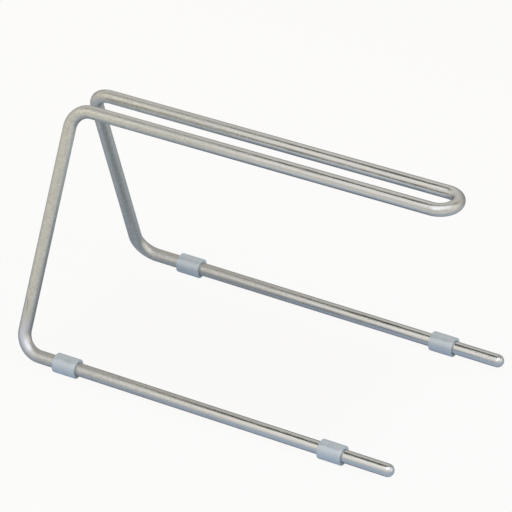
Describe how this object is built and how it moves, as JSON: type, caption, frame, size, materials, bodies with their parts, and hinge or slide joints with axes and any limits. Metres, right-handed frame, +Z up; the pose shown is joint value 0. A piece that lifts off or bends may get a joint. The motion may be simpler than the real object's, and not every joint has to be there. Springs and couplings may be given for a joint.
{
  "type": "instrument holder",
  "caption": "Free-standing rack of one bent steel rod: parallel legs on soft tube sleeves, splayed uprights and a long narrow top loop that instruments hang on.",
  "frame": {"origin": "on the table top under the middle of the rack's outer box", "axes": "+X along the legs and rails, from the heels towards the leg tips; +Y from the front leg to the back leg; +Z up"},
  "size_m": [0.2084, 0.1164, 0.122],
  "materials": {
    "steel_rod": "satin, lightly polished at the leg tips",
    "soft_sleeve": "matt"
  },
  "bodies": {
    "root": {"bent_rod_frame": "steel_rod", "front_heel_sleeve": "soft_sleeve", "front_tip_sleeve": "soft_sleeve", "back_heel_sleeve": "soft_sleeve", "back_tip_sleeve": "soft_sleeve"}
  },
  "joints": []
}
